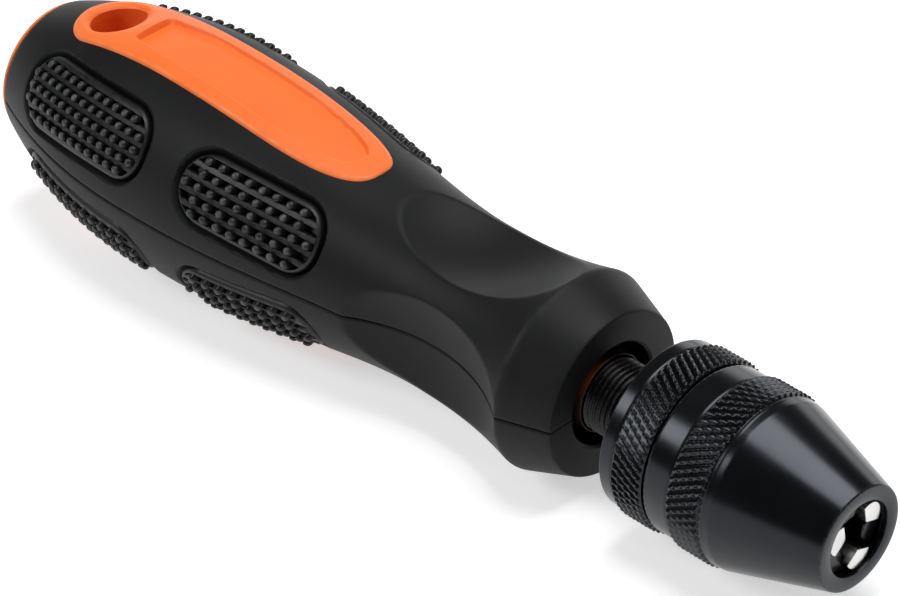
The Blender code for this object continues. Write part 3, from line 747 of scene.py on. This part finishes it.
noseSnout = {
    "outer": 5.1, "inner": 4.94, "front": 97.9, "rear": 91.2, "steps": 96,
    "paintedShade": 0.72, "litArcAt": -0.63, "litArcReach": 0.75,
}


def buildSnout():
    # a thin orange tube, darkened all round by painted shade, least on the short arc where light reaches in
    front, rear = noseSnout["front"], noseSnout["rear"]
    outer, inner = noseSnout["outer"], noseSnout["inner"]
    points = [(rear, inner), (rear, outer), (front - 0.08, outer), (front, outer - 0.06)]
    points += [(front, inner + 0.04), (front - 0.06, inner)]
    bm = bmesh.new()
    spinFull(bm, points, noseSnout["steps"], closed=True)
    paintedShade = bm.verts.layers.float.new("paintedShade")
    for vert in bm.verts:
        away = abs(polar(vert.co)[1] - noseSnout["litArcAt"]) / noseSnout["litArcReach"]
        vert[paintedShade] = noseSnout["paintedShade"] + (1 - noseSnout["paintedShade"]) * ease(away)
    finishPiece("noseSnout", bm, "handle", ["handle_core"], orange)


buildInlays()
buildHangTube()
buildTailCap()
buildSnout()
print("orange core ready")


# eight grip pads: ribs and troughs with rows of round nubs

padBed = {
    "rows": 5, "rowPitch": 1.7, "proud": 0.12, "foot": 1.5, "rim": 0.28, "rimSoft": 0.35,
    "trough": 1.3, "ribWidth": 0.34, "ribSoft": 0.16, "edge": 0.4, "edgeDrop": 0.35,
    "wearAndHighlight": 0.12, "highlightEdge": 0.3, "gridRows": 96, "gridColumns": 72,
}


def makeBed(pad):
    bed = padBed
    pitch = bed["rowPitch"]
    bm = bmesh.new()
    bmesh.ops.create_grid(bm, x_segments=bed["gridRows"], y_segments=bed["gridColumns"], size=1.0)
    layer = wearAndHighlightLayer(bm)
    for vert in bm.verts:
        u = pad["length"] * (0.5 - 0.5 * math.cos(math.pi * (vert.co.x + 1) / 2))
        v = vert.co.y * padHalfWidth(pad, u)
        inside = -padDistance(pad, u, v)
        between = abs((v / pitch) % 1.0 - 0.5) * pitch
        if abs(v) > pitch * bed["rows"] / 2:
            between = 0.0
        rib = 1 - ease((between - bed["ribWidth"]) / bed["ribSoft"])
        opening = ease((inside - bed["rim"]) / bed["rimSoft"])
        height = bed["proud"] - bed["trough"] * opening * (1 - rib)
        height -= bed["edgeDrop"] * (1 - clamp(inside / bed["edge"])) ** 2
        # a painted highlight on the rim and the rib tops, none in the troughs
        vert[layer] = bed["wearAndHighlight"] * (1 - opening * (1 - rib)) * clamp(inside / bed["highlightEdge"])
        vert.co = (u, v, height)
    closeUp(bm)
    rim = [edge for edge in bm.edges if edge.is_boundary]
    grown = bmesh.ops.extrude_edge_only(bm, edges=rim)["geom"]
    for vert in onlyVerts(grown):
        vert.co.z = -bed["foot"]
    bmesh.ops.contextual_create(bm, geom=[edge for edge in bm.edges if edge.is_boundary])
    splitLarge(bm)
    bmesh.ops.recalc_face_normals(bm, faces=bm.faces[:])
    return bm


padNub = {
    "radius": 0.7, "top": 0.52, "foot": -1.25, "height": 0.84, "sides": 12, "round": 0.4, "roundSteps": 4,
    "crownAbove": 0.5, "endGap": 1.1, "margin": 0.85, "wearAndHighlightFrom": 0.6, "highlightReach": 0.26,
}


def addNubs(bm, pad):
    nub = padNub
    layer = wearAndHighlightLayer(bm)
    pitch = (pad["length"] - 2 * nub["endGap"]) / (pad["nubs"] - 1)
    places = []
    for row in range(padBed["rows"]):
        v = (row - (padBed["rows"] - 1) / 2) * padBed["rowPitch"]
        along = [nub["endGap"] + pitch * i for i in range(pad["nubs"])]
        places += [(u, v) for u in along if padDistance(pad, u, v) < -nub["margin"]]
    # the first nub is shaped at the origin, copied to the other places and then moved to its own
    first = bmesh.ops.create_cone(bm, cap_ends=True, segments=nub["sides"], radius1=nub["radius"],
                                  radius2=nub["top"], depth=nub["height"] - nub["foot"])["verts"]
    bmesh.ops.translate(bm, vec=(0, 0, (nub["height"] + nub["foot"]) / 2), verts=first)
    crown = [e for e in dict.fromkeys(e for v in first for e in v.link_edges)
             if all(v.co.z > nub["crownAbove"] for v in e.verts)]
    rounded = bmesh.ops.bevel(bm, geom=crown, offset=nub["round"], segments=nub["roundSteps"], profile=0.5,
                              affect="EDGES", material=-1)
    kept = [v for v in first if v.is_valid] + list(rounded["verts"])
    verts = list(dict.fromkeys(kept + [v for face in rounded["faces"] for v in face.verts]))
    # a painted highlight on the nub tips
    for vert in verts:
        vert[layer] = clamp((vert.co.z - nub["wearAndHighlightFrom"]) / nub["highlightReach"])
    faces = list(dict.fromkeys(face for v in verts for face in v.link_faces))
    for u, v in places[1:]:
        copy = bmesh.ops.duplicate(bm, geom=verts + faces)["geom"]
        bmesh.ops.translate(bm, vec=(u, v, 0), verts=onlyVerts(copy))
    bmesh.ops.translate(bm, vec=(*places[0], 0), verts=verts)


def buildPads():
    angle = padShape["angle"]
    corners = {"upper_right": angle, "upper_left": -angle,
               "lower_right": 180 - angle, "lower_left": angle - 180}
    for where in ("rear", "front"):
        pad = padShape[where]
        bm = makeBed(pad)
        addNubs(bm, pad)
        for vert in bm.verts:  # the flat pad is laid on the handle
            x = pad["start"] + vert.co.x
            y = vert.co.y
            vert.co = (x, y, surfaceHeight(x, y) + vert.co.z)
        for corner, turn in corners.items():
            name = where + "Pad" + corner.title().replace("_", "")
            finishPiece(name, bm.copy(), "handle", [f"grip_pad_{where}_{corner}"], rubber,
                        sharp=50, turn=turn, tidy=False)
        bm.free()


buildPads()
print("grip pads ready")


# the threaded spindle between handle and chuck

spindleBar = {
    "radius": 4.8, "start": 97.9, "end": 110.0, "steps": 96, "rowStep": 0.075,
    "pitch": 0.75, "depth": 0.34, "flank": 2.6, "root": 0.15, "wearAndHighlightFrom": 0.75,
    "shoulder": 6.5, "shoulderRear": 91.5, "shoulderFront": 95.2, "shoulderEdge": 0.15,
}


def buildSpindle():
    bar = spindleBar
    end, wide, edge = bar["end"], bar["shoulder"], bar["shoulderEdge"]
    rear, face = bar["shoulderRear"], bar["shoulderFront"]
    points = [(rear, 0.0), (rear, wide), (face - edge, wide), (face, wide - edge)]
    points += [(face, bar["radius"] + 0.1)]
    points += [(x, bar["radius"]) for x in rowsBetween(bar["start"], end, bar["rowStep"])]
    points += [(end, 0.0)]
    bm = bmesh.new()
    spinFull(bm, points, bar["steps"])
    closeUp(bm)
    layer = wearAndHighlightLayer(bm)
    for vert in bm.verts:
        radius, angle = polar(vert.co)
        if radius < 1 or radius > bar["radius"] + 0.05:
            continue  # the ends' middle and the shoulder
        wave = (vert.co.x / bar["pitch"] - angle / (2 * math.pi)) % 1.0
        crest = clamp(abs(wave - 0.5) * bar["flank"] - bar["root"])
        setPolar(vert.co, radius - bar["depth"] * (1 - crest), angle)
        vert[layer] = ease((crest - bar["wearAndHighlightFrom"]) / (1 - bar["wearAndHighlightFrom"]))
    finishPiece("threadedSpindle", bm, "handle", ["spindle"], darkSteel, sharp=60)


buildSpindle()
print("spindle ready")


# the chuck: a knurled collar that screws on to the spindle, and a knurled sleeve that turns on it

knurl = {
    "count": 64, "stepsEach": 12, "lean": 30.0, "crest": 11.2, "depth": 0.45, "flat": 0.86, "crossing": 0.45,
    "edge": 0.2, "sink": 0.1, "wearAndHighlight": 0.7, "rubFall": 2.2, "skin": 10.0, "rowStep": 0.12, "plainStep": 0.35,
}


def cutKnurl(bm, start, end, deepHand):
    # two crossing sets of V grooves, one hand cut deeper than the other
    layer = wearAndHighlightLayer(bm)
    twist = knurl["count"] * math.tan(math.radians(knurl["lean"])) / (2 * math.pi * knurl["crest"])
    for vert in bm.verts:
        radius, angle = polar(vert.co)
        x = vert.co.x
        if not start - 1e-4 <= x <= end + 1e-4 or radius < knurl["skin"]:
            continue
        around = knurl["count"] * angle / (2 * math.pi)
        deep = 2 * abs((around + deepHand * twist * x) % 1.0 - 0.5)
        fine = 2 * abs((around - deepHand * twist * x) % 1.0 - 0.5)
        groove = max(1 - deep / knurl["flat"], knurl["crossing"] * (1 - fine / knurl["flat"]), 0.0)
        fade = ease(min(x - start, end - x) / knurl["edge"])
        base = radius - knurl["depth"] * knurl["sink"]
        setPolar(vert.co, base + (knurl["crest"] - base - knurl["depth"] * groove) * fade, angle)
        vert[layer] = knurl["wearAndHighlight"] * fade * ease(1 - groove * knurl["rubFall"])


def turnChuckPiece(points):
    bm = bmesh.new()
    spinFull(bm, points, knurl["count"] * knurl["stepsEach"], closed=True)
    closeUp(bm)
    return bm


collar = {
    "rear": 105.95, "front": 112.6, "radius": 10.75, "chamfer": 0.22, "knurlStart": 108.05,
    "bore": 5.15, "stem": 9.4, "stemEnd": 118.9, "stemBore": 5.0,
    "wearAndHighlight": 0.8, "wearAndHighlightWidth": 0.14, "highlightDepth": 0.3,
}


def buildCollar():
    rear, front, start = collar["rear"], collar["front"], collar["knurlStart"]
    radius, cut, bore = collar["radius"], collar["chamfer"], collar["bore"]
    end = front - 0.06
    points = [(rear + 0.3, bore - 0.4), (rear, bore + 0.2), (rear, radius - cut - 0.06)]
    points += [(rear + 0.05, radius - cut), (rear + cut - 0.04, radius - 0.06), (rear + cut + 0.06, radius)]
    points += [(x, radius) for x in rowsBetween(rear + cut + 0.16, start - 0.12, knurl["plainStep"])]
    points += [(start - 0.04, radius - 0.05)]
    points += [(x, radius) for x in rowsBetween(start, end, knurl["rowStep"])]
    points += [(front, radius - 0.1), (front, collar["stem"])]
    points += [(collar["stemEnd"], collar["stem"]), (collar["stemEnd"], collar["stemBore"])]
    bm = turnChuckPiece(points)

    # a bare-metal line at the rear chamfer, placed as a painted highlight
    def paintedHighlightLine(co):
        outside = polar(co)[0] > radius - collar["highlightDepth"]
        return collar["wearAndHighlight"] * nearLine(co.x, rear + cut, collar["wearAndHighlightWidth"]) if outside else 0.0

    markEdges(bm, paintedHighlightLine)
    cutKnurl(bm, start, end, 1)
    finishPiece("knurledCollar", bm, "handle", ["chuck_body"], anodised)


sleeve = {
    "rear": 112.75, "radius": 10.75, "chamfer": 0.45, "chamferSteps": 5,
    "knurlStart": 116.5, "knurlEnd": 121.4, "rimEnd": 122.9, "rimRise": 0.14, "rimStep": 0.3,
    "coneStep": 0.5, "front": 136.0, "faceRadius": 6.75,
    "mouth": 4.85, "lip": 1.0, "lipStep": 0.55, "bore": 9.75, "boreEnd": 123.2,
    "wearAndHighlightWidth": 0.16, "faceHighlightWidth": 0.22,
}


def buildSleeve():
    rear, front, rim = sleeve["rear"], sleeve["front"], sleeve["rimEnd"]
    radius, face, mouth = sleeve["radius"], sleeve["faceRadius"], sleeve["mouth"]
    cut, rise = sleeve["chamfer"], sleeve["rimRise"]
    start, after = sleeve["knurlStart"], sleeve["knurlEnd"]
    slope = (face - radius) / (front - rim)
    lip = front - sleeve["lip"]
    points = [(rear, sleeve["bore"])]
    for turn in quarterTurn(sleeve["chamferSteps"]):
        points.append((rear + cut * (1 - math.cos(turn)), radius - cut * (1 - math.sin(turn))))
    points += [(x, radius) for x in rowsBetween(rear + cut + 0.15, start - 0.12, knurl["plainStep"])]
    points += [(start - 0.04, radius - 0.04)]
    points += [(x, radius) for x in rowsBetween(start, after, knurl["rowStep"])]
    # a fine groove, the rim behind the cone and the cone
    points += [(after + 0.06, radius - 0.06), (after + 0.12, radius - 0.06), (after + 0.16, radius)]
    points += [(after + 0.28, radius + 0.12), (after + 0.36, radius + rise)]
    points += [(x, radius + rise * (rim - x) / (rim - after))
               for x in rowsBetween(after + 0.5, rim - 0.06, sleeve["rimStep"])]
    cone = [rim + 0.05, rim + 0.15] + rowsBetween(rim + 0.5, front - 0.4, sleeve["coneStep"])
    points += [(x, radius + slope * (x - rim)) for x in cone]
    # the flat face with its rounded edges, the mouth, and the bore behind its lip
    points += [(front - 0.2, face + 0.055), (front - 0.09, face + 0.01)]
    points += [(front - 0.02, face - 0.09), (front, face - 0.2)]
    points += [(front, mouth + 0.16), (front - 0.05, mouth + 0.05), (front - 0.16, mouth)]
    points += [(lip, mouth), (lip, mouth + sleeve["lipStep"]), (sleeve["boreEnd"], sleeve["bore"])]
    bm = turnChuckPiece(points)

    # bare-metal lines at the rear chamfer and round the face, placed as painted highlights
    def paintedHighlightLines(co):
        r = polar(co)[0]
        if r > radius - 0.35 and co.x < rim - 2:
            return nearLine(co.x, rear + 0.4 * cut, sleeve["wearAndHighlightWidth"])
        if co.x > front - 0.25 and r > 5.5:
            return nearLine(r, face - 0.1, sleeve["faceHighlightWidth"])
        return 0.0

    markEdges(bm, paintedHighlightLines)
    cutKnurl(bm, start, after, -1)
    finishPiece("chuckSleeve", bm, "sleeve", ["chuck_sleeve"], anodised)


buildCollar()
buildSleeve()
print("chuck ready")


# three round jaws that slide down slanted bores, each ground to a ridge that faces the drill

jaws = {
    "radius": 1.4, "headRadius": 1.9, "headX": 127.0, "lean": 15.0, "tipX": 135.6, "tipCentre": 2.69,
    "ridge": 2.0, "flank": math.pi / 6, "tailX": 115.2, "tailOverlap": 0.2, "spare": 1.5,
    "angles": (50.0, 170.0, 290.0), "segments": 48, "edge": 0.14, "cornerAngle": 0.4,
    "bodies": ("jaw_one", "jaw_two", "jaw_three"),
}


def jawHeight(x):
    return jaws["tipCentre"] + (jaws["tipX"] - x) * math.tan(math.radians(jaws["lean"]))


def jawRod(bm, radius, rearX, frontX):
    # a round rod along a jaw's slanted line, above the axis
    middleX = (rearX + frontX) / 2
    length = (frontX - rearX) / math.cos(math.radians(jaws["lean"]))
    verts = bmesh.ops.create_cone(bm, cap_ends=True, segments=jaws["segments"], radius1=radius,
                                  radius2=radius, depth=length)["verts"]
    place = Matrix.Translation((middleX, 0, jawHeight(middleX)))
    place = place @ Matrix.Rotation(math.radians(90 + jaws["lean"]), 4, "Y")
    bmesh.ops.transform(bm, matrix=place, verts=verts)
    return verts


chuckCore = {
    "rear": 118.0, "neck": 4.4, "step": 123.3, "rim": 8.5, "coneStart": 124.6, "front": 134.7, "tip": 4.85,
    "bore": 2.3, "edge": 0.15, "steps": 144, "jawGap": 0.06, "boreBehind": 3.0, "boreAhead": 6.0,
}


def buildCore():
    # the chuck's own nose, hidden in the sleeve: the jaws slide in its slanted bores
    core = chuckCore
    rear, front, edge = core["rear"], core["front"], core["edge"]
    points = [(rear, core["bore"]), (rear, core["neck"]), (core["step"], core["neck"])]
    points += [(core["step"], core["rim"]), (core["coneStart"], core["rim"])]
    points += [(front - edge, core["tip"]), (front, core["tip"] - edge)]
    points += [(front, core["bore"] + edge), (front - edge, core["bore"])]
    bm = bmesh.new()
    spinFull(bm, points, core["steps"], closed=True)
    bores = bmesh.new()
    for angle in jaws["angles"]:
        bore = jawRod(bores, jaws["headRadius"] + core["jawGap"], jaws["tailX"] - core["boreBehind"],
                      jaws["tipX"] + core["boreAhead"])
        bmesh.ops.transform(bores, matrix=turned(-angle), verts=bore)
    bm = cutAway(bm, bores)
    finishPiece("chuckCore", bm, "handle", ["chuck_body"], anodised)


def slicedAway(bm, point, normal):
    everything = bm.verts[:] + bm.edges[:] + bm.faces[:]
    cut = bmesh.ops.bisect_plane(bm, geom=everything, plane_co=point, plane_no=normal, clear_outer=True)
    rim = [item for item in cut["geom_cut"] if isinstance(item, bmesh.types.BMEdge)]
    if rim:
        bmesh.ops.contextual_create(bm, geom=rim)


def buildJaws():
    flank = jaws["flank"]
    for number, (angle, body) in enumerate(zip(jaws["angles"], jaws["bodies"]), 1):
        bm = bmesh.new()
        jawRod(bm, jaws["headRadius"], jaws["headX"], jaws["tipX"] + jaws["spare"])
        slicedAway(bm, (jaws["tipX"], 0, 0), (1, 0, 0))
        for side in (-1, 1):
            slicedAway(bm, (0, 0, jaws["ridge"]), (0, side * math.sin(flank), -math.cos(flank)))
        closeUp(bm)
        corners = [e for e in bm.edges
                   if len(e.link_faces) == 2 and e.calc_face_angle() > jaws["cornerAngle"]]
        bmesh.ops.bevel(bm, geom=corners, offset=jaws["edge"], segments=2, profile=0.5, affect="EDGES",
                        material=-1)
        jawRod(bm, jaws["radius"], jaws["tailX"], jaws["headX"] + jaws["tailOverlap"])
        finishPiece(f"chuckJaw{number}", bm, body, [f"jaw_{number}"], whiteSteel,
                    sharp=30, turn=-angle)


buildCore()
buildJaws()
for name in ("nut_half_upper", "nut_half_lower", "thrust_ring"):  # hidden pieces keep their solids
    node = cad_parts[name]
    node.data.materials.clear()
    node.data.materials.append(darkSteel)
print("jaws ready")


# floor, lamps and camera

studio = {
    "floorX": 29.0, "floorZ": -15.55, "floorLean": 2.3, "floorSize": 12.0,
    "floorColour": (0.8, 0.8, 0.8, 1.0), "floorGlow": 0.55, "sky": 0.09, "lampAim": (0.07, 0, 0),
    "camera": (0.38335, -0.31397, 0.32513), "cameraAim": (0.072964, -0.0014, 0.001539),
    "focalPixels": 4589.7, "framePixels": 900, "sensor": 36.0,
}
lamps = {
    "overheadBox": {"place": (0.10, 0.13, 0.75), "size": (0.4, 0.55), "power": 4.9},
    "leftBox": {"place": (-0.27, -0.50, 0.48), "size": (0.28, 0.28), "power": 1.9},
    "noseBox": {"place": (0.75, -0.14, 0.33), "size": (0.1, 0.1), "power": 0.3},
    "backBox": {"place": (-0.5, 0.8, 0.22), "size": (1.4, 0.35), "power": 2.6},
}


def buildFloor():
    bm = bmesh.new()
    bmesh.ops.create_grid(bm, x_segments=2, y_segments=2, size=studio["floorSize"] / 2)
    lean = Matrix.Rotation(math.radians(-studio["floorLean"]), 4, "Y")
    place = Matrix.Translation((studio["floorX"] * mm, 0, studio["floorZ"] * mm)) @ lean
    bmesh.ops.transform(bm, matrix=place, verts=bm.verts[:])
    look = Finish("paleFloor")
    look.put(Base_Color=studio["floorColour"], Roughness=0.9, Specular_IOR_Level=0.0)
    look.put(Emission_Color=(1, 1, 1, 1))
    # the floor glows for what looks at it straight, in a mirror or through glass
    path = addNode(look.tree, "ShaderNodeLightPath", (-700, -300)).outputs
    either = addNode(look.tree, "ShaderNodeMath", (-500, -300), operation="MAXIMUM")
    seen = addNode(look.tree, "ShaderNodeMath", (-300, -300), operation="MAXIMUM")
    glow = addNode(look.tree, "ShaderNodeMath", (-100, -300), {1: studio["floorGlow"]}, operation="MULTIPLY")
    wire(look.tree,
         (path["Is Camera Ray"], either.inputs[0]), (path["Is Glossy Ray"], either.inputs[1]),
         (either.outputs[0], seen.inputs[0]), (path["Is Transmission Ray"], seen.inputs[1]),
         (seen.outputs[0], glow.inputs[0]))
    look.feed("Emission Strength", glow.outputs[0])
    mesh = toMesh("paleFloor", bm)
    mesh.materials.append(look.material)
    floor = addObject("paleFloor", mesh)


def aimAt(thing, place, target):
    thing.location = place
    thing.rotation_euler = (Vector(target) - Vector(place)).to_track_quat("-Z", "Y").to_euler()


def buildLamps():
    for name, lamp in lamps.items():
        data = bpy.data.lights.new(name, "AREA")
        data.shape = "RECTANGLE"
        data.size, data.size_y = lamp["size"]
        data.energy = lamp["power"]
        aimAt(addObject(name, data), lamp["place"], studio["lampAim"])
    world = bpy.data.worlds.new("softStudio")
    bpy.context.scene.world = world
    world.use_nodes = True
    sky = world.node_tree.nodes["Background"]
    sky.inputs["Color"].default_value = (1, 1, 1, 1)
    sky.inputs["Strength"].default_value = studio["sky"]


def buildCamera():
    data = bpy.data.cameras.new("photoCamera")
    data.sensor_width = studio["sensor"]
    data.lens = studio["focalPixels"] * studio["sensor"] / studio["framePixels"]
    data.clip_start = 0.01
    camera = addObject("photoCamera", data)
    aimAt(camera, studio["camera"], studio["cameraAim"])
    bpy.context.scene.camera = camera


buildFloor()
buildLamps()
buildCamera()
bpy.context.scene.view_settings.view_transform = "Standard"
print("studio ready")
